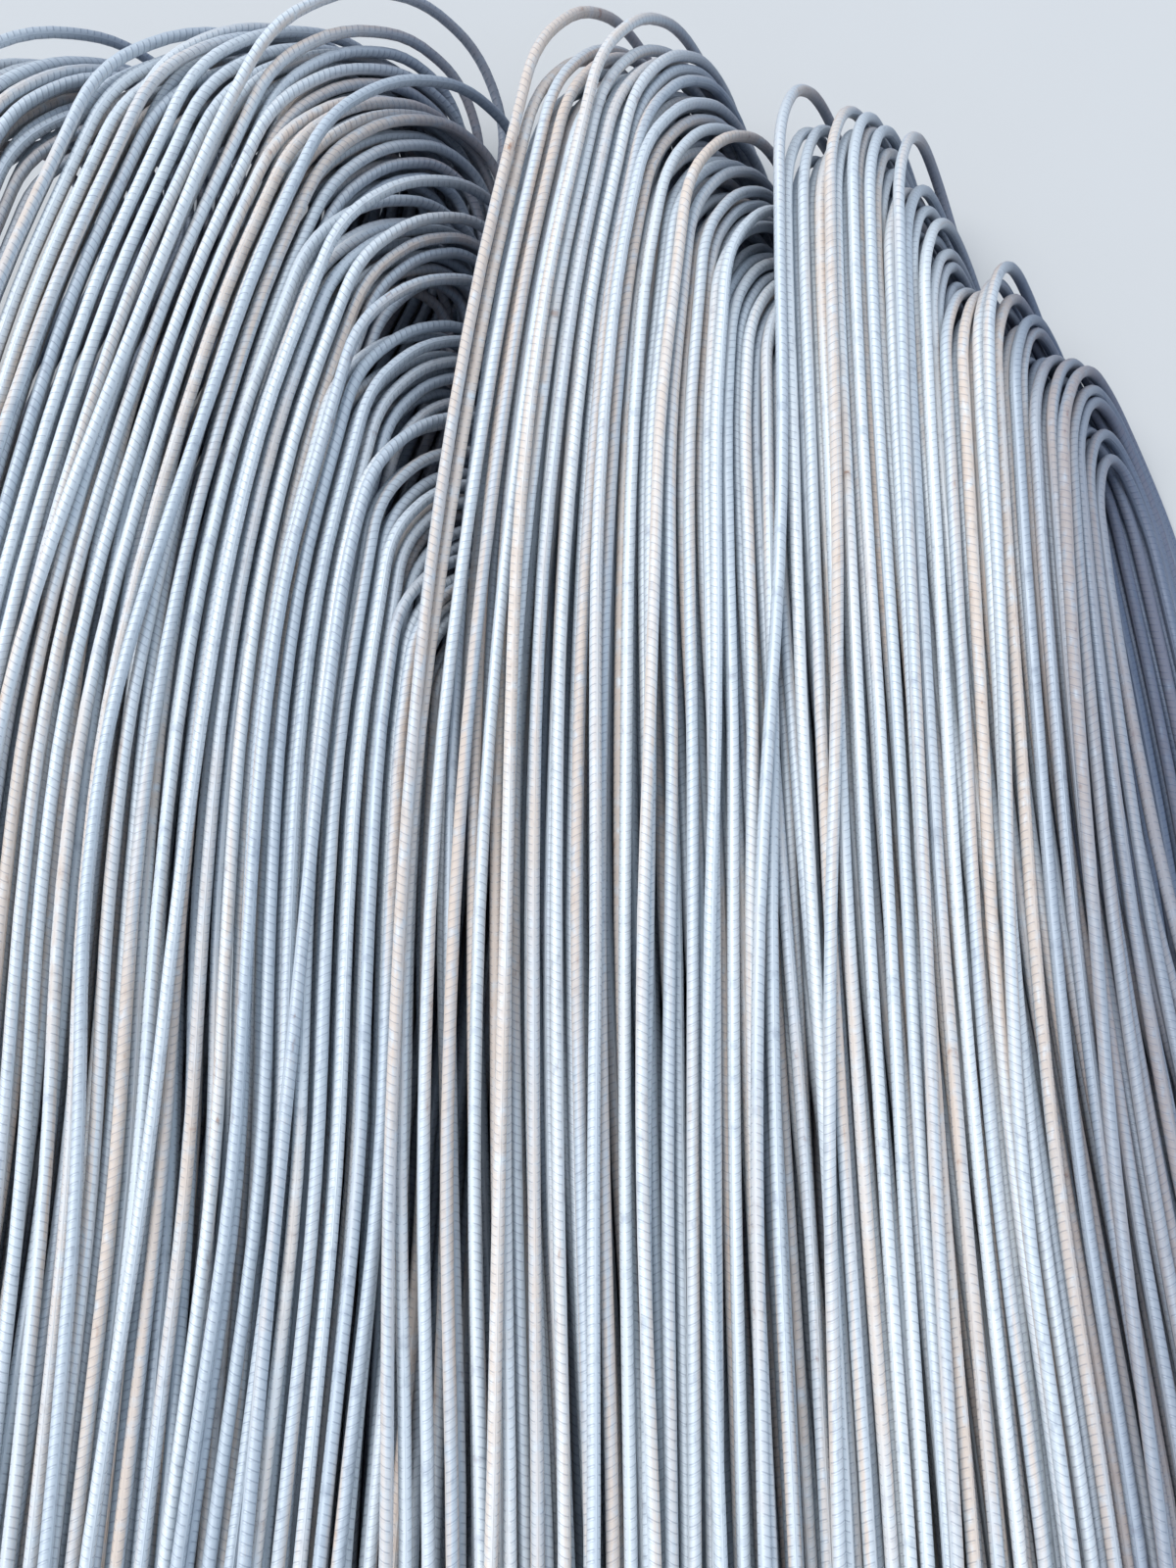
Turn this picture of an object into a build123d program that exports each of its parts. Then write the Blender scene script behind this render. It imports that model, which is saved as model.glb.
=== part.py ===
# A heap of ribbed reinforcing bar, as it is sold folded: every bar is bent double near its middle
# into a long hairpin. The bends lie at the +Y end of the heap and the cut ends at the -Y end.
# One leg of a hairpin lies on top of the heap, its bend comes down to the right, and the other leg
# runs back underneath. The hairpins lie in four bundles, each partly over the one on its left.
# Sizes are in millimetres, +Z is up, and the heap lies on the plane Z = 0.
# A bar is its plain round core at the nominal diameter, and its fine ribs are not modelled here.

from build123d import *
from math import cos, pi, radians, sin, tan
from random import Random
import os

# The stock
bar_diameter = 12.0
rib_height = 0.4
bar_length = 12000.0
fold_play = 70.0  # how far from the middle of a bar its bend may be

# How the hairpins nest: the outermost layer holds only stray bars, the others are full
pitch = bar_diameter + 2 * rib_height
layers = 5

# The legs on top lie level, and rise steadily from rise_start to the bends
rise_start = -80.0
rise_end = 1200.0
rise_height = 160.0

# A bend is half an oval, drawn with this many corners that are then rounded
bend_corners = 6
bend_reach = 1.35  # its length over half its height
bend_play = 26.0  # how far a row's bends may lie before or behind the line of its bundle
bend_gap = 26.0  # the most that a bend may lie inside the one around it, past the pitch
stray_reach = 50.0  # the most that a stray bar's bend may stand out past the others
stray_wander = 0.03  # how far a stray bar strays sideways, as a share of its bundle's width
wander_length = 2600.0

# Cross sections of the heap, from the bends back, where each leg may turn a little
stations = [1000.0, 840.0, 680.0, 520.0, 360.0, 180.0, -60.0, -400.0, -1100.0, -2300.0, -3700.0]
first_station = 60.0  # the nearest one to the middle of a bend

# Legs weave sideways by a share of their bundle's width, in waves across it and along it
weaves = [
    dict(waves=1, share=0.016, length=3100.0),
    dict(waves=2, share=0.008, length=1900.0),
    dict(waves=4, share=0.003, length=1300.0),
]
layer_shift = 0.25  # how far the layers stand off sideways, as a share of the row spacing
calm_length = 380.0  # no weave as near as this to a bend
calm_fade = 550.0

gauge_station = -400.0  # where the rows of a bundle are counted off

# The bundles, from left to right. Left and right are the edges of the top legs, as (y, x). Row_gap is
# the room between the bars of neighbouring rows where they are counted off. Stray_bars says which rows
# have a stray bar on top, as shares of the width. Bend_line says how far the bends reach, as (share of
# the width, y). Slant is how far a row leans over to the right for each millimetre down, and bow how
# far its lower leg springs out to the right. Looseness makes the weave larger. The stray bars drift to
# the left by a share of the width, across the edge of the bundle beside them.
bundles = {
    "far_left": dict(
        row_gap=5.5,
        stray_bars=[0.5],
        left=[(-5000, -830), (-400, -868), (400, -850), (800, -810), (1250, -700)],
        right=[(-5000, -700), (-400, -758), (400, -740), (800, -695), (1250, -570)],
        bend_line=[(0.0, 1180), (1.0, 1160)],
        slant=(0.86, 0.86),
        bow=(-40.0, -20.0),
        looseness=1.2,
        stray_drift=0.0,
    ),
    "left": dict(
        row_gap=7.0,
        stray_bars=[0.04, 0.15, 0.35, 0.54, 0.65, 0.77, 0.88],
        left=[(-5000, -680), (-1500, -720), (-400, -738), (300, -718), (700, -655), (1000, -570),
              (1250, -480)],
        right=[(-5000, -225), (-1500, -265), (-400, -224), (-100, -206), (100, -207), (500, -184),
               (800, -116), (1250, 60)],
        bend_line=[(0.0, 1205), (0.38, 1200), (0.42, 1140), (0.54, 1110), (0.58, 1010), (0.69, 975),
                   (0.73, 865), (0.81, 830), (0.85, 720), (0.93, 680), (0.96, 590), (1.0, 565)],
        slant=(0.95, 0.64),
        bow=(0.0, 150.0),
        looseness=1.2,
        stray_drift=0.08,
    ),
    "middle": dict(
        row_gap=7.3,
        stray_bars=[0.0, 0.25, 0.5, 0.69, 0.88],
        left=[(-5000, -175), (-1500, -180), (-400, -168), (-100, -180), (100, -178), (500, -155),
              (800, -117), (1200, -40)],
        right=[(-5000, 130), (-1500, 140), (-400, 153), (300, 168), (850, 174), (1200, 245)],
        bend_line=[(0.0, 1190), (0.4, 1175), (0.5, 1100), (0.7, 1060), (0.85, 960), (1.0, 880)],
        slant=(0.66, 0.57),
        bow=(165.0, 300.0),
        looseness=1.35,
        stray_drift=0.02,
    ),
    "right": dict(
        row_gap=6.9,
        stray_bars=[0.0, 0.19, 0.44, 0.75, 1.0],
        left=[(-5000, 150), (-1500, 170), (-400, 187), (300, 196), (800, 197), (1200, 197)],
        right=[(-5000, 430), (-1500, 480), (-400, 500), (-100, 485), (100, 477), (700, 475), (1200, 484)],
        bend_line=[(0.0, 1100), (0.3, 1088), (0.36, 1012), (0.5, 997), (0.56, 915), (0.75, 865), (1.0, 775)],
        slant=(0.60, 0.47),
        bow=(320.0, 470.0),
        looseness=1.25,
        stray_drift=0.10,
    ),
}

lowest_axis = bar_diameter / 2

# The arcs that round a bar's corners
straight_turn = 0.05  # degrees: a corner that turns less is left out
arc_share = 0.45  # of the shorter run beside it, at most
widest_arc = 5000.0  # the largest radius


def scatter(*seeds):
    """A value from -1 to 1 that looks random and is the same on every run."""
    return Random(repr(seeds)).uniform(-1, 1)


def ease(share):
    """From 0 to 1 without a kink at either end."""
    share = min(1.0, max(0.0, share))
    return share * share * (3 - 2 * share)


def between(pair, share):
    return pair[0] + (pair[1] - pair[0]) * share


def broken_line(points, at):
    """The value at a place on straight lines through (place, value) points."""
    for (a, low), (b, high) in zip(points, points[1:]):
        if at <= b:
            return between((low, high), (at - a) / (b - a))
    return points[-1][1]


def smooth_line(points, at):
    """The value at a place on a smooth curve through (place, value) points."""
    last = len(points) - 1
    index = 0
    while index < last - 1 and at > points[index + 1][0]:
        index += 1

    def slope(i):
        before, after = points[max(0, i - 1)], points[min(last, i + 1)]
        return (after[1] - before[1]) / (after[0] - before[0])

    (a, low), (b, high) = points[index], points[index + 1]
    t = min(1.0, max(0.0, (at - a) / (b - a)))
    curve = (t**3 - 2 * t**2 + t) * slope(index) + (t**3 - t**2) * slope(index + 1)
    return between((low, high), ease(t)) + (b - a) * curve


def top_height(y):
    """Height of the axes of the outermost layer's top legs."""
    rest = lowest_axis + (2 * layers - 1) * pitch
    return rest + rise_height * max(0.0, (y - rise_start) / (rise_end - rise_start))


def row_count(bundle):
    width = smooth_line(bundle["right"], gauge_station) - smooth_line(bundle["left"], gauge_station)
    return 1 + round(width / (pitch + bundle["row_gap"]))


class Row:
    """One row of nested hairpins. Its slanting surface keeps clear of those of the rows beside it."""

    def __init__(self, name, index):
        self.bundle = bundles[name]
        self.name = name
        self.index = index
        self.steps = row_count(self.bundle) - 1
        self.share = index / self.steps
        self.slant = between(self.bundle["slant"], self.share)
        self.bow = between(self.bundle["bow"], self.share)
        self.tip = broken_line(self.bundle["bend_line"], self.share)
        self.tip += bend_play * scatter("bend", name, index)

    def weave(self, layer, level, y):
        """How far a leg lies beside its row's surface, as a share of the bundle's width."""
        value = (layer_shift if layer % 2 else -layer_shift) / self.steps
        for number, weave in enumerate(weaves):
            way = 1 if (layer + level + number) % 2 else -1
            start = scatter("weave", self.name, layer, level, number)
            turns = start + weave["waves"] * self.share + way * y / weave["length"]
            value += self.bundle["looseness"] * weave["share"] * sin(2 * pi * turns)
        if layer == layers:
            turns = scatter("wander", self.name, self.index, level) + y / wander_length
            value += stray_wander * sin(2 * pi * turns)
        if layer == layers and level == 0:
            value -= self.bundle["stray_drift"] * (1 - self.share)
        return value * ease((self.tip - calm_length - y) / calm_fade)

    def place(self, y, z, layer, level):
        """The point of a hairpin at y and z. Level is 0 on the top leg and 1 on the lower one."""
        edges = smooth_line(self.bundle["left"], y), smooth_line(self.bundle["right"], y)
        top = top_height(y)
        drop = (top - z) / (top - lowest_axis)
        start = self.bundle["bend_line"][0][1]
        bow = self.bow * sin(pi * min(1.0, max(0.0, 2 * (start - y) / bar_length)))
        share = self.share + self.weave(layer, level, y)
        return Vector(between(edges, share) + self.slant * (top - z) + bow * drop, y, z)

    def retreat(self, layer):
        """How far a hairpin's bend lies behind its row's outermost full one. A stray bar's lies before it."""
        if layer == layers:
            return -stray_reach * (1 + scatter("stray", self.name, self.index)) / 2
        outer_gaps = [1 + scatter("gap", self.name, self.index, outer) for outer in range(layer, layers - 1)]
        return bend_gap * sum(outer_gaps) / 2

    def route(self, layer):
        """The corners of one hairpin's axis, from the cut end on top to the one underneath."""
        depth = (layers - layer) * pitch
        low = lowest_axis + depth
        reach = bend_reach * (top_height(self.tip) - lowest_axis) / 2
        centre = self.tip - reach - self.retreat(layer)
        high = top_height(centre) - depth
        corner_angles = [pi * (0.5 - (corner + 0.5) / bend_corners) for corner in range(bend_corners)]
        widen = 1 / cos(pi / 2 / bend_corners)
        bend = []
        for angle in corner_angles:
            y = centre + (reach - depth) * widen * cos(angle)
            z = between((low, high), (1 + widen * sin(angle)) / 2)
            bend.append(self.place(y, z, layer, 0 if angle > 0 else 1))
        behind = [y for y in stations if y < centre - first_station]
        top_leg = [self.place(y, top_height(y) - depth, layer, 0) for y in behind]
        low_leg = [self.place(y, low, layer, 1) for y in behind]
        fold = bend_corners // 2
        half = bar_length / 2 + fold_play * scatter("fold", self.name, self.index, layer)
        first = cut_to_length(bend[:fold][::-1] + top_leg, half)
        second = cut_to_length(bend[fold - 1:] + low_leg, bar_length - half)
        return first[::-1] + second[1:]


def cut_to_length(points, length):
    """A leg from its bend back, carried on straight until it has its length."""
    run = sum((b - a).length for a, b in zip(points, points[1:]))
    return points + [points[-1] - Vector(0, length - run, 0)]


def bar(points):
    """A round bar along straight runs joined by tangent arcs."""
    edges = []
    start = points[0]
    for before, corner, after in zip(points, points[1:], points[2:]):
        inward, outward = corner - before, after - corner
        turn = inward.get_angle(outward)
        if turn < straight_turn:
            continue
        half_turn = radians(turn) / 2
        reach = min(arc_share * min(inward.length, outward.length), widest_arc * tan(half_turn))
        into = corner - inward.normalized() * reach
        out = corner + outward.normalized() * reach
        chord_middle = (into + out) / 2
        rise = reach / tan(half_turn) * (1 - cos(half_turn))
        crown = chord_middle + (corner - chord_middle).normalized() * rise
        edges.append(Edge.make_line(start, into))
        edges.append(Edge.make_three_point_arc(into, crown, out))
        start = out
    edges.append(Edge.make_line(start, points[-1]))
    section = Plane(origin=points[0], z_dir=points[1] - points[0]) * Circle(bar_diameter / 2)
    return sweep(section, path=Wire(edges))


def bundle_routes(name):
    """The routes of a bundle's bars, in a list for each layer from the inside out."""
    rows = [Row(name, index) for index in range(row_count(bundles[name]))]
    full = [[row.route(layer) for row in rows] for layer in range(1, layers)]
    strays = sorted({round(share * (len(rows) - 1)) for share in bundles[name]["stray_bars"]})
    return full + [[rows[index].route(layers) for index in strays]]


def heap_middle(routes):
    """The point on the ground under the middle of the heap."""
    corners = [point for route in routes for point in route]
    x_values = [point.X for point in corners]
    y_values = [point.Y for point in corners]
    low_x, high_x = min(x_values), max(x_values)
    low_y, high_y = min(y_values), max(y_values) + bar_diameter / 2
    return Vector((low_x + high_x) / 2, (low_y + high_y) / 2, 0)


def build():
    os.makedirs("parts", exist_ok=True)
    heap = {name: bundle_routes(name) for name in bundles}
    middle = heap_middle([route for layer_lists in heap.values() for layer in layer_lists for route in layer])
    for name, layer_lists in heap.items():
        for number, layer in enumerate(layer_lists, start=1):
            bars = [bar([point - middle for point in route]) for route in layer]
            label = "stray_bars" if number == layers else f"layer_{number}"
            export_step(Compound(bars), f"parts/{name}_bundle_{label}.step")


build()
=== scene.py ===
import math
from random import Random

import bpy
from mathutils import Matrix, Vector


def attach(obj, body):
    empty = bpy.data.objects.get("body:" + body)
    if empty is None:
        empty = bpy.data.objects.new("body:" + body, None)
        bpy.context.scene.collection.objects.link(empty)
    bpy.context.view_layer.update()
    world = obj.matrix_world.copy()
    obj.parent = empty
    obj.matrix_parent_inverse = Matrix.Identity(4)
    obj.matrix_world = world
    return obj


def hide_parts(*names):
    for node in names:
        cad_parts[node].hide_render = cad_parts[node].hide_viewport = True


# A heap of ribbed reinforcing bars, each bent double into a long hairpin.
# The bars are drawn again along the routes that their solids have, as swept meshes that know how
# far along and around the bar each point is, so that the ribs and the rust can follow the bar.

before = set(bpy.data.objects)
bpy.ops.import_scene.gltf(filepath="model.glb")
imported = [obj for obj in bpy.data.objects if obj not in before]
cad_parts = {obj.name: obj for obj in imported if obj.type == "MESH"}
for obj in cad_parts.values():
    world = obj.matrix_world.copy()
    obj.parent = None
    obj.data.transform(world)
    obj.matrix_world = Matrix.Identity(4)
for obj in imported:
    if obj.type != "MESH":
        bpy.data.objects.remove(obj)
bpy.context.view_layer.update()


# Layout, in millimetres, as the solids have it

millimetre = 0.001  # in metres

stock = dict(
    diameter=12.0,
    ribHeight=0.4,
    length=12000.0,
    foldPlay=70.0,  # how far the bend may lie off the bar's middle
)

nest = dict(
    pitch=stock["diameter"] + 2 * stock["ribHeight"],
    layers=5,  # the outermost one is the few stray bars
    lowestAxis=stock["diameter"] / 2,
    riseStart=-80.0,  # from here the top legs climb towards the bends
    riseEnd=1200.0,
    riseHeight=160.0,
)

bendShape = dict(
    corners=6,
    reach=1.35,  # its length over half its height
    play=26.0,  # how far a row's bend may lie off the bundle's bend line
    gap=26.0,  # the most that a bend may lie inside the one around it, past the pitch
    strayReach=50.0,  # the most that a stray bar's bend may lie outside
)

sections = dict(
    places=[1000.0, 840.0, 680.0, 520.0, 360.0, 180.0, -60.0, -400.0, -1100.0, -2300.0, -3700.0],
    clearance=60.0,  # from the middle of a bend to the first one that its legs pass
    gauge=-400.0,  # where the rows of a bundle are counted off
)

weaving = dict(
    # how many waves across the bundle, their height as a share of its width, their length along it
    waves=[(1, 0.016, 3100.0), (2, 0.008, 1900.0), (4, 0.003, 1300.0)],
    layerShift=0.25,  # of the rows' spacing, to one side in odd layers and to the other in even ones
    strayWander=0.03,  # how far a stray bar strays sideways, as a share of the width
    wanderLength=2600.0,
    calmLength=380.0,  # behind a bend's tip, where nothing weaves
    calmFade=550.0,
)

# A bundle's left and right edges are points (y, x) along its top legs. Its bend line has the share
# of its width from the left, and the y of the bends' tips there. Its slant, which is how far it
# shifts sideways for each step down, and the bow of its lower legs are given at both edges.
bundles = {
    "far_left": dict(
        rowGap=5.5,  # between rows, past the pitch
        strayBars=[0.5],  # the rows that have one, as shares of the width
        left=[(-5000, -830), (-400, -868), (400, -850), (800, -810), (1250, -700)],
        right=[(-5000, -700), (-400, -758), (400, -740), (800, -695), (1250, -570)],
        bendLine=[(0.0, 1180), (1.0, 1160)],
        slant=(0.86, 0.86),
        bow=(-40.0, -20.0),
        looseness=1.2,
        strayDrift=0.0,  # of the stray bars to the left, as a share of the width
    ),
    "left": dict(
        rowGap=7.0,
        strayBars=[0.04, 0.15, 0.35, 0.54, 0.65, 0.77, 0.88],
        left=[(-5000, -680), (-1500, -720), (-400, -738), (300, -718), (700, -655), (1000, -570),
              (1250, -480)],
        right=[(-5000, -225), (-1500, -265), (-400, -224), (-100, -206), (100, -207), (500, -184),
               (800, -116), (1250, 60)],
        bendLine=[(0.0, 1205), (0.38, 1200), (0.42, 1140), (0.54, 1110), (0.58, 1010), (0.69, 975),
                  (0.73, 865), (0.81, 830), (0.85, 720), (0.93, 680), (0.96, 590), (1.0, 565)],
        slant=(0.95, 0.64),
        bow=(0.0, 150.0),
        looseness=1.2,
        strayDrift=0.08,
    ),
    "middle": dict(
        rowGap=7.3,
        strayBars=[0.0, 0.25, 0.5, 0.69, 0.88],
        left=[(-5000, -175), (-1500, -180), (-400, -168), (-100, -180), (100, -178), (500, -155),
              (800, -117), (1200, -40)],
        right=[(-5000, 130), (-1500, 140), (-400, 153), (300, 168), (850, 174), (1200, 245)],
        bendLine=[(0.0, 1190), (0.4, 1175), (0.5, 1100), (0.7, 1060), (0.85, 960), (1.0, 880)],
        slant=(0.66, 0.57),
        bow=(165.0, 300.0),
        looseness=1.35,
        strayDrift=0.02,
    ),
    "right": dict(
        rowGap=6.9,
        strayBars=[0.0, 0.19, 0.44, 0.75, 1.0],
        left=[(-5000, 150), (-1500, 170), (-400, 187), (300, 196), (800, 197), (1200, 197)],
        right=[(-5000, 430), (-1500, 480), (-400, 500), (-100, 485), (100, 477), (700, 475),
               (1200, 484)],
        bendLine=[(0.0, 1100), (0.3, 1088), (0.36, 1012), (0.5, 997), (0.56, 915), (0.75, 865),
                  (1.0, 775)],
        slant=(0.60, 0.47),
        bow=(320.0, 470.0),
        looseness=1.25,
        strayDrift=0.10,
    ),
}


def scatter(*seeds):  # from -1 to 1, the same on every run
    return Random(repr(seeds)).uniform(-1, 1)


def ease(share):
    share = min(1.0, max(0.0, share))
    return share * share * (3 - 2 * share)


def between(pair, share):
    return pair[0] + (pair[1] - pair[0]) * share


def brokenLine(points, at):
    for (a, low), (b, high) in zip(points, points[1:]):
        if at <= b:
            return between((low, high), (at - a) / (b - a))
    return points[-1][1]


def smoothLine(points, at):
    last = len(points) - 1
    index = 0
    while index < last - 1 and at > points[index + 1][0]:
        index += 1

    def slope(i):
        before, after = points[max(0, i - 1)], points[min(last, i + 1)]
        return (after[1] - before[1]) / (after[0] - before[0])

    (a, low), (b, high) = points[index], points[index + 1]
    t = min(1.0, max(0.0, (at - a) / (b - a)))
    curve = (t**3 - 2 * t**2 + t) * slope(index) + (t**3 - t**2) * slope(index + 1)
    return between((low, high), ease(t)) + (b - a) * curve


def topHeight(y):  # of the axes of the outermost top legs
    rest = nest["lowestAxis"] + (2 * nest["layers"] - 1) * nest["pitch"]
    climb = (y - nest["riseStart"]) / (nest["riseEnd"] - nest["riseStart"])
    return rest + nest["riseHeight"] * max(0.0, climb)


def rowCount(bundle):
    at = sections["gauge"]
    width = smoothLine(bundle["right"], at) - smoothLine(bundle["left"], at)
    return 1 + round(width / (nest["pitch"] + bundle["rowGap"]))


class Row:  # nested hairpins that share one slanting surface
    def __init__(self, name, index):
        self.bundle = bundles[name]
        self.name = name
        self.index = index
        self.steps = rowCount(self.bundle) - 1
        self.share = index / self.steps
        self.slant = between(self.bundle["slant"], self.share)
        self.bow = between(self.bundle["bow"], self.share)
        self.tip = brokenLine(self.bundle["bendLine"], self.share)
        self.tip += bendShape["play"] * scatter("bend", name, index)

    def weave(self, layer, level, y):  # beside the row's surface, as a share of the bundle's width
        shift = weaving["layerShift"]
        value = (shift if layer % 2 else -shift) / self.steps
        for number, (waves, share, length) in enumerate(weaving["waves"]):
            way = 1 if (layer + level + number) % 2 else -1
            start = scatter("weave", self.name, layer, level, number)
            turns = start + waves * self.share + way * y / length
            value += self.bundle["looseness"] * share * math.sin(2 * math.pi * turns)
        if layer == nest["layers"]:
            turns = scatter("wander", self.name, self.index, level) + y / weaving["wanderLength"]
            value += weaving["strayWander"] * math.sin(2 * math.pi * turns)
            if level == 0:
                value -= self.bundle["strayDrift"] * (1 - self.share)
        return value * ease((self.tip - weaving["calmLength"] - y) / weaving["calmFade"])

    def place(self, y, z, layer, level):  # level is 0 on the top leg and 1 on the lower one
        edges = smoothLine(self.bundle["left"], y), smoothLine(self.bundle["right"], y)
        top = topHeight(y)
        drop = (top - z) / (top - nest["lowestAxis"])
        start = self.bundle["bendLine"][0][1]
        bow = self.bow * math.sin(math.pi * min(1.0, max(0.0, 2 * (start - y) / stock["length"])))
        share = self.share + self.weave(layer, level, y)
        return Vector((between(edges, share) + self.slant * (top - z) + bow * drop, y, z))

    def retreat(self, layer):  # how far the bend lies behind its row's outermost full one
        if layer == nest["layers"]:
            return -bendShape["strayReach"] * (1 + scatter("stray", self.name, self.index)) / 2
        outer = range(layer, nest["layers"] - 1)
        return bendShape["gap"] * sum(1 + scatter("gap", self.name, self.index, n) for n in outer) / 2

    def route(self, layer):  # corners of the axis, from the cut end on top to the one underneath
        depth = (nest["layers"] - layer) * nest["pitch"]
        low = nest["lowestAxis"] + depth
        reach = bendShape["reach"] * (topHeight(self.tip) - nest["lowestAxis"]) / 2
        centre = self.tip - reach - self.retreat(layer)
        high = topHeight(centre) - depth
        corners = bendShape["corners"]
        widen = 1 / math.cos(math.pi / 2 / corners)
        bend = []
        for corner in range(corners):
            angle = math.pi * (0.5 - (corner + 0.5) / corners)
            y = centre + (reach - depth) * widen * math.cos(angle)
            z = between((low, high), (1 + widen * math.sin(angle)) / 2)
            bend.append(self.place(y, z, layer, 0 if angle > 0 else 1))
        behind = [y for y in sections["places"] if y < centre - sections["clearance"]]
        topLeg = [self.place(y, topHeight(y) - depth, layer, 0) for y in behind]
        lowLeg = [self.place(y, low, layer, 1) for y in behind]
        fold = corners // 2
        half = stock["length"] / 2 + stock["foldPlay"] * scatter("fold", self.name, self.index, layer)
        first = cutToLength(bend[:fold][::-1] + topLeg, half)
        second = cutToLength(bend[fold - 1:] + lowLeg, stock["length"] - half)
        return first[::-1] + second[1:]


def cutToLength(points, length):
    run = sum((b - a).length for a, b in zip(points, points[1:]))
    return points + [points[-1] - Vector((0, length - run, 0))]


def bundleRoutes(name):
    rows = [Row(name, index) for index in range(rowCount(bundles[name]))]
    full = [[row.route(layer) for row in rows] for layer in range(1, nest["layers"])]
    strays = sorted({round(share * (len(rows) - 1)) for share in bundles[name]["strayBars"]})
    return full + [[rows[index].route(nest["layers"]) for index in strays]]


def heapMiddle(routes):
    xValues = [point.x for route in routes for point in route]
    yValues = [point.y for route in routes for point in route]
    highY = max(yValues) + stock["diameter"] / 2
    return Vector(((min(xValues) + max(xValues)) / 2, (min(yValues) + highY) / 2, 0))


# Bars

barLook = dict(
    sides=12,
    turnPerStep=8.0,  # degrees between two rings of a bend's mesh, at most
    sag=0.0003,  # metres that the mesh may cut inside an arc
    straightTurn=0.001,  # radians; a corner that turns less is left out
    arcShare=0.45,  # of the shorter run beside a corner, at most
    widestArc=5.0,  # metres of radius
    smoothAngle=40.0,  # degrees, so that only the cut ends keep a sharp edge
)


def roundedRoute(corners):  # straight runs joined by arcs, as points close enough to look round
    points = [corners[0]]
    for before, corner, after in zip(corners, corners[1:], corners[2:]):
        inward, outward = corner - before, after - corner
        turn = inward.angle(outward)
        if turn < barLook["straightTurn"]:
            continue
        reach = barLook["arcShare"] * min(inward.length, outward.length)
        reach = min(reach, barLook["widestArc"] * math.tan(turn / 2))
        into = corner - inward.normalized() * reach
        radius = reach / math.tan(turn / 2)
        centre = into + (outward - outward.project(inward)).normalized() * radius
        largestTurn = math.radians(barLook["turnPerStep"])
        largestTurn = min(largestTurn, math.sqrt(8 * barLook["sag"] / radius))
        steps = math.ceil(turn / largestTurn)
        for step in range(steps + 1):
            angle = turn * step / steps
            spoke = (into - centre) * math.cos(angle) + inward.normalized() * radius * math.sin(angle)
            points.append(centre + spoke)
    return points + [corners[-1]]


def barCurve(name, routes, middle, firstBar):
    curve = bpy.data.curves.new(name, "CURVE")
    curve.dimensions = "3D"
    for number, route in enumerate(routes):
        points = roundedRoute([(point - middle) * millimetre for point in route])
        spline = curve.splines.new("POLY")
        spline.points.add(len(points) - 1)
        tilt = math.pi * scatter("turn", firstBar + number)
        for target, point in zip(spline.points, points):
            target.co = (*point, 1)
            target.tilt = tilt
    piece = bpy.data.objects.new(name, curve)
    bpy.context.scene.collection.objects.link(piece)
    return piece


def sweepNodes(middle):  # a node group that sweeps a bar's section and keeps where each point is
    group = bpy.data.node_groups.new("sweepBars", "GeometryNodeTree")
    group.interface.new_socket("Geometry", in_out="INPUT", socket_type="NodeSocketGeometry")
    group.interface.new_socket("First bar", in_out="INPUT", socket_type="NodeSocketInt")
    group.interface.new_socket("Geometry", in_out="OUTPUT", socket_type="NodeSocketGeometry")
    nodes, links = group.nodes, group.links
    source = nodes.new("NodeGroupInput")
    result = nodes.new("NodeGroupOutput")

    def keep(geometry, name, value, domain="POINT"):
        node = nodes.new("GeometryNodeStoreNamedAttribute")
        node.data_type = "FLOAT"
        node.domain = domain
        node.inputs["Name"].default_value = name
        links.new(geometry, node.inputs["Geometry"])
        links.new(value, node.inputs["Value"])
        return node.outputs["Geometry"]

    def maths(operation, a, b=None):
        node = nodes.new("ShaderNodeMath")
        node.operation = operation
        for socket, value in zip(node.inputs, (a, b)):
            if isinstance(value, (int, float)):
                socket.default_value = value
            elif value is not None:
                links.new(value, socket)
        return node.outputs[0]

    along = nodes.new("GeometryNodeSplineParameter").outputs["Length"]
    rest = maths("SUBTRACT", nodes.new("GeometryNodeSplineLength").outputs["Length"], along)
    bars = keep(source.outputs["Geometry"], "along", along)
    bars = keep(bars, "toCut", maths("MINIMUM", along, rest))
    number = maths("ADD", nodes.new("GeometryNodeInputIndex").outputs[0], source.outputs["First bar"])
    bars = keep(bars, "barNumber", number, "CURVE")

    # How far a point lies under the outermost top legs
    place = nodes.new("ShaderNodeSeparateXYZ")
    links.new(nodes.new("GeometryNodeInputPosition").outputs[0], place.inputs[0])
    start = (nest["riseStart"] - middle.y) * millimetre
    climb = nest["riseHeight"] / (nest["riseEnd"] - nest["riseStart"])
    run = maths("MAXIMUM", maths("SUBTRACT", place.outputs["Y"], start), 0)
    top = maths("ADD", maths("MULTIPLY", run, climb), topHeight(nest["riseStart"]) * millimetre)
    bars = keep(bars, "buried", maths("SUBTRACT", top, place.outputs["Z"]))

    section = nodes.new("GeometryNodeCurvePrimitiveCircle")
    section.inputs["Resolution"].default_value = barLook["sides"]
    section.inputs["Radius"].default_value = stock["diameter"] / 2 * millimetre
    around = nodes.new("GeometryNodeSplineParameter")
    angle = maths("MULTIPLY", around.outputs["Factor"], 2 * math.pi)
    ring = keep(section.outputs["Curve"], "acrossBar", maths("COSINE", angle))
    ring = keep(ring, "upBar", maths("SINE", angle))

    sweep = nodes.new("GeometryNodeCurveToMesh")
    links.new(bars, sweep.inputs["Curve"])
    links.new(ring, sweep.inputs["Profile Curve"])
    sweep.inputs["Fill Caps"].default_value = True
    links.new(sweep.outputs["Mesh"], result.inputs[0])
    return group


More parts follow.
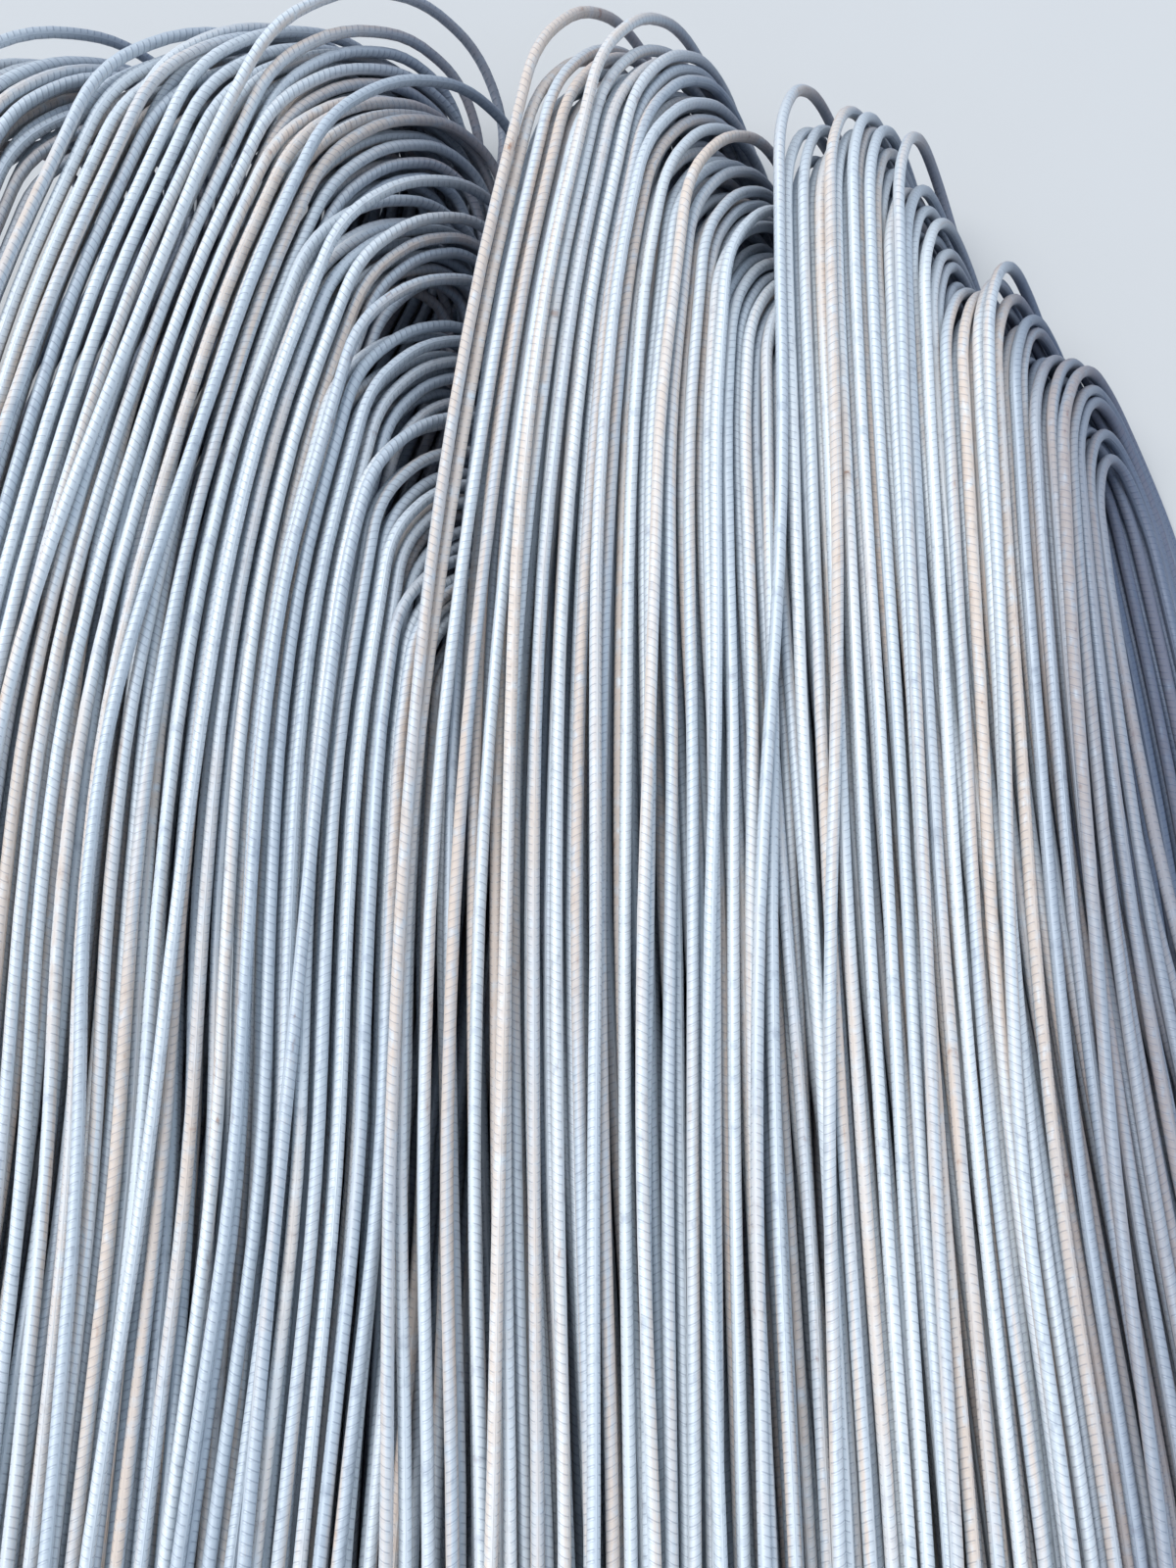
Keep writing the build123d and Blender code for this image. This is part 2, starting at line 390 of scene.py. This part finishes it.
def sweepBars(piece, group, firstBar):
    bpy.ops.object.select_all(action="DESELECT")
    piece.select_set(True)
    bpy.context.view_layer.objects.active = piece
    sweep = piece.modifiers.new("sweep", "NODES")
    sweep.node_group = group
    sweep[group.interface.items_tree["First bar"].identifier] = firstBar
    bpy.ops.object.convert(target="MESH")
    made = bpy.context.view_layer.objects.active
    bpy.ops.object.shade_smooth_by_angle(angle=math.radians(barLook["smoothAngle"]))
    return made


# Materials

class Value:  # a number socket that takes part in sums
    def __init__(self, maker, socket):
        self.maker = maker
        self.socket = socket

    def __add__(self, other):
        return self.maker.maths("ADD", self, other)

    def __radd__(self, other):
        return self.maker.maths("ADD", other, self)

    def __sub__(self, other):
        return self.maker.maths("SUBTRACT", self, other)

    def __rsub__(self, other):
        return self.maker.maths("SUBTRACT", other, self)

    def __mul__(self, other):
        return self.maker.maths("MULTIPLY", self, other)

    def __rmul__(self, other):
        return self.maker.maths("MULTIPLY", other, self)

    def __truediv__(self, other):
        return self.maker.maths("DIVIDE", self, other)

    def __rtruediv__(self, other):
        return self.maker.maths("DIVIDE", other, self)


class Finish:  # a material being made: adds nodes, and links or sets their sockets
    def __init__(self, name):
        self.material = bpy.data.materials.new(name)
        self.material.use_nodes = True
        self.tree = self.material.node_tree
        self.shader = self.tree.nodes["Principled BSDF"]

    def plug(self, value, socket):
        if isinstance(value, Value):
            value = value.socket
        if isinstance(value, bpy.types.NodeSocket):
            self.tree.links.new(value, socket)
        else:
            socket.default_value = value

    def add(self, kind, settings=None, *values, **named):
        node = self.tree.nodes.new(kind)
        for key, setting in (settings or {}).items():
            setattr(node, key, setting)
        for socket, value in zip(node.inputs, values):
            self.plug(value, socket)
        for key, value in named.items():
            self.plug(value, node.inputs[key])
        return node

    def number(self, kind, output, settings=None, *values, **named):
        return Value(self, self.add(kind, settings, *values, **named).outputs[output])

    def maths(self, operation, *values):
        return self.number("ShaderNodeMath", 0, {"operation": operation}, *values)

    def kept(self, name):  # a number that the mesh keeps at its points
        return self.number("ShaderNodeAttribute", "Fac", {"attribute_name": name})

    def between(self, low, high, value):  # 0 below low, 1 above high, smooth between
        settings = {"interpolation_type": "SMOOTHSTEP"}
        return self.number("ShaderNodeMapRange", "Result", settings, value, low, high)

    def mixed(self, share, first, second):  # the Mix node's colours go in at 6 and 7 and out at 2
        node = self.add("ShaderNodeMix", {"data_type": "RGBA", "clamp_factor": True}, share)
        for value, socket in ((first, node.inputs[6]), (second, node.inputs[7])):
            self.plug((*value, 1) if isinstance(value, tuple) else value, socket)
        return node.outputs[2]

    def set(self, **values):
        for key, value in values.items():
            self.plug(value, self.shader.inputs[key.replace("_", " ")])


steelLook = dict(
    pale=(0.79, 0.835, 0.855),  # the lightest bars
    scale=(0.52, 0.58, 0.635),  # the darkest ones
    slateDirtAndShade=(0.040, 0.072, 0.150),  # dirt, and painted shade deep in the heap, on its right flank and beside the ribs
    tan=(0.73, 0.55, 0.41),
    rust=(0.42, 0.22, 0.13),
    roughness=0.44,
    grainRoughness=0.2,
    bloomRoughness=0.2,
    ribPolish=0.08,  # how much smoother the ribs' tops are
    metallic=0.25,
    bloomDulling=0.2,  # how much less metallic the bloom is
)

ribs = dict(
    spacing=0.008,  # metres
    lean=0.35,  # how much of a spacing a rib leans as it goes round the bar
    barShift=0.37,  # how much further along they start on the next bar
    depth=0.00025,  # metres
    crest=(0.6, 1.0),  # of a wave along the bar, where a rib begins and where it is full
    foot=(0.80, 1.0),  # the same for the painted shade beside it, a dark line that stands for the rib's shadow
    footPlace=0.16,  # beside the crest, as a share of the spacing
    footShade=0.34,
    side=(0.16, 0.45),  # where the transverse ribs die out, from the height on the bar
    keel=(0.965, 0.995),  # the ribs along the bar, from the distance beside it
    keelHeight=0.8,
)

marks = dict(
    streaks=(2.2, 5.3, 0.6),  # how fast they change along the bar, from bar to bar and around it
    streakDetail=3.0,
    grain=(60.0, 3.3, 0.9, 0.4),  # the same, with around it twice: across and up
    grainDetail=5.0,
    toneSeed=1.7,
    toneShare=0.9,  # how much of a bar's tone is its own
    streakShare=0.6,  # how much of it follows the streaks
    toneStart=-0.25,
    dark=(0.56, 0.74),
    darkShare=0.25,
    bloomSeed=(3.1, 7.0),  # for each bar, and for the first one
    bloomScatter=0.3,  # how much it differs from bar to bar
    bloom=(0.62, 0.86),
    bloomGrain=(0.18, 0.53),
    bloomShare=0.7,
    rustGrain=(0.65, 0.78),
    rustStreaks=(0.52, 0.66),
    rustShare=0.8,
    shorn=(0.001, 0.012),  # metres from the cut end
    shornShare=0.8,
    buried=(0.0, 0.14),  # metres under the outermost top legs, over which the painted shade deepens
    buriedShadeShare=0.68,
    flankShade=(0.33, 0.43),  # metres to the right of the heap's middle, where the painted shade of the right flank sets in
    flankShadeShare=0.5,
)


def ribRelief(finish, along, across, up, bar):  # the ribs' height, and the painted shade at their feet
    phase = along / ribs["spacing"] + across * ribs["lean"] + bar * ribs["barShift"]
    wave = finish.maths("SINE", phase * (2 * math.pi))
    footWave = finish.maths("SINE", (phase - ribs["footPlace"]) * (2 * math.pi))
    side = finish.between(*ribs["side"], finish.maths("ABSOLUTE", up))
    crest = finish.between(*ribs["crest"], wave) * side
    keel = finish.between(*ribs["keel"], finish.maths("ABSOLUTE", across)) * ribs["keelHeight"]
    return finish.maths("MAXIMUM", crest, keel), finish.between(*ribs["foot"], footWave) * side


def noise(finish, x, y, z, detail):
    place = finish.add("ShaderNodeCombineXYZ", None, x, y, z).outputs[0]
    return finish.number("ShaderNodeTexNoise", "Fac", None, Vector=place, Scale=1.0, Detail=detail)


def chance(finish, seed):  # a number from 0 to 1 for each bar
    return finish.number("ShaderNodeTexWhiteNoise", "Value", {"noise_dimensions": "1D"}, W=seed)


def barSteel():
    finish = Finish("barSteel")
    along = finish.kept("along")
    across = finish.kept("acrossBar")
    up = finish.kept("upBar")
    bar = finish.kept("barNumber")
    relief, ribFootShade = ribRelief(finish, along, across, up, bar)

    # Each bar has its own tone, with streaks and grain along it
    length, number, around = marks["streaks"]
    streak = noise(finish, along * length, bar * number, across * around, marks["streakDetail"])
    length, number, sideways, upwards = marks["grain"]
    around = across * sideways + up * upwards
    grain = noise(finish, along * length, bar * number, around, marks["grainDetail"])
    tone = chance(finish, bar * marks["toneSeed"]) * marks["toneShare"]
    tone = tone + streak * marks["streakShare"] + marks["toneStart"]
    steel = finish.mixed(tone, steelLook["scale"], steelLook["pale"])
    dark = finish.between(*marks["dark"], grain)
    steel = finish.mixed(dark * marks["darkShare"], steel, steelLook["slateDirtAndShade"])

    # Tan bloom and spots of rust on some of the streaks, and painted shade at the ribs' feet
    seed, firstSeed = marks["bloomSeed"]
    bloom = streak + chance(finish, bar * seed + firstSeed) * marks["bloomScatter"]
    bloom = finish.between(*marks["bloom"], bloom) * finish.between(*marks["bloomGrain"], grain)
    steel = finish.mixed(bloom * marks["bloomShare"], steel, steelLook["tan"])
    spots = finish.between(*marks["rustGrain"], grain) * finish.between(*marks["rustStreaks"], streak)
    steel = finish.mixed(spots * marks["rustShare"], steel, steelLook["rust"])
    # painted shade: a dark line beside each rib, where its shadow falls
    steel = finish.mixed(ribFootShade * ribs["footShade"], steel, steelLook["slateDirtAndShade"])

    # The shorn ends have rusted
    shorn = 1 - finish.between(*marks["shorn"], finish.kept("toCut"))
    steel = finish.mixed(shorn * marks["shornShare"], steel, steelLook["rust"])

    # Painted shade: the bars are darkened deep in the heap, under the outermost top legs, and on the
    # heap's right flank
    buried = finish.between(*marks["buried"], finish.kept("buried"))
    steel = finish.mixed(buried * marks["buriedShadeShare"], steel, steelLook["slateDirtAndShade"])
    # painted shade on the heap's right flank
    place = finish.add("ShaderNodeTexCoord").outputs["Object"]
    toTheRight = finish.number("ShaderNodeSeparateXYZ", "X", None, place)
    flankShade = finish.between(*marks["flankShade"], toTheRight)
    steel = finish.mixed(flankShade * marks["flankShadeShare"], steel, steelLook["slateDirtAndShade"])

    roughness = steelLook["roughness"] + grain * steelLook["grainRoughness"]
    roughness = roughness + bloom * steelLook["bloomRoughness"] - relief * steelLook["ribPolish"]
    metallic = steelLook["metallic"] - bloom * steelLook["bloomDulling"]
    bump = finish.add("ShaderNodeBump", None, Strength=1.0, Distance=ribs["depth"], Height=relief)
    finish.set(Base_Color=steel, Roughness=roughness, Metallic=metallic, Normal=bump.outputs[0])
    return finish.material


floorLook = dict(
    size=160.0,
    colour=(0.56, 0.56, 0.55),
    mottle=(0.52, 0.51, 0.49),
    mottleScale=6.0,
    mottleDetail=4.0,
    mottleShare=0.25,
    roughness=0.85,
)


def floorFinish():
    finish = Finish("floorFinish")
    place = finish.add("ShaderNodeTexCoord").outputs["Object"]
    size, detail = floorLook["mottleScale"], floorLook["mottleDetail"]
    mottle = finish.number("ShaderNodeTexNoise", "Fac", None, Vector=place, Scale=size, Detail=detail)
    colour = finish.mixed(mottle * floorLook["mottleShare"], floorLook["colour"], floorLook["mottle"])
    finish.set(Base_Color=colour, Roughness=floorLook["roughness"])
    return finish.material


# Making

def makeHeap():
    heap = {name: bundleRoutes(name) for name in bundles}
    middle = heapMiddle([route for layers in heap.values() for layer in layers for route in layer])
    steel = barSteel()
    group = sweepNodes(middle)
    firstBar = 0
    for name, layers in heap.items():
        for number, routes in enumerate(layers, start=1):
            label = "stray_bars" if number == nest["layers"] else f"layer_{number}"
            node = f"{name}_bundle_{label}"
            piece = barCurve(node + "_ribbed", routes, middle, firstBar)
            piece = sweepBars(piece, group, firstBar)
            piece.data.materials.clear()
            piece.data.materials.append(steel)
            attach(piece, "root")
            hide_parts(node)
            firstBar += len(routes)
        print(name, "bundle made, bars so far:", firstBar)
    return middle


def makeFloor():
    bpy.ops.object.select_all(action="DESELECT")
    bpy.ops.mesh.primitive_plane_add(size=floorLook["size"])
    floor = bpy.context.object
    floor.name = "floor"
    floor.data.materials.append(floorFinish())


viewSettings = dict(
    height=1.26,  # metres above the floor
    pitch=74.5,  # degrees below level
    pixelsFocal=1202.0,  # the focal length, in pixels of the frame
    pixelsHigh=1600.0,
    sensor=36.0,  # millimetres
    colours="Standard",
)


def makeCamera(middle):
    data = bpy.data.cameras.new("photoView")
    data.sensor_width = viewSettings["sensor"]
    data.lens = viewSettings["pixelsFocal"] / viewSettings["pixelsHigh"] * viewSettings["sensor"]
    camera = bpy.data.objects.new("photoView", data)
    bpy.context.scene.collection.objects.link(camera)
    layoutOrigin = middle * -millimetre
    camera.location = (layoutOrigin.x, layoutOrigin.y, viewSettings["height"])
    camera.rotation_euler = (math.radians(90 - viewSettings["pitch"]), 0, 0)
    bpy.context.scene.camera = camera
    bpy.context.scene.view_settings.view_transform = viewSettings["colours"]


# The key and the fill are suns, spread over so many degrees, that shine from their places to the origin
lights = dict(
    sky=dict(colour=(0.68, 0.81, 1.0), strength=0.75),
    key=dict(strength=2.5, spread=40.0, place=(-2.2, 0.6, 3.8)),
    fill=dict(strength=0.15, spread=60.0, place=(3.2, -1.6, 3.4)),
)


def makeLight(name):
    settings = lights[name]
    data = bpy.data.lights.new(name, "SUN")
    data.energy = settings["strength"]
    data.angle = math.radians(settings["spread"])
    light = bpy.data.objects.new(name, data)
    bpy.context.scene.collection.objects.link(light)
    light.location = settings["place"]
    light.rotation_euler = Vector(settings["place"]).to_track_quat("Z", "Y").to_euler()


def makeSky():
    world = bpy.data.worlds.new("sky")
    bpy.context.scene.world = world
    world.use_nodes = True
    background = world.node_tree.nodes["Background"]
    background.inputs["Color"].default_value = (*lights["sky"]["colour"], 1)
    background.inputs["Strength"].default_value = lights["sky"]["strength"]


heapCentre = makeHeap()
makeFloor()
makeCamera(heapCentre)
makeLight("key")
makeLight("fill")
makeSky()
print("camera, floor and lights made")
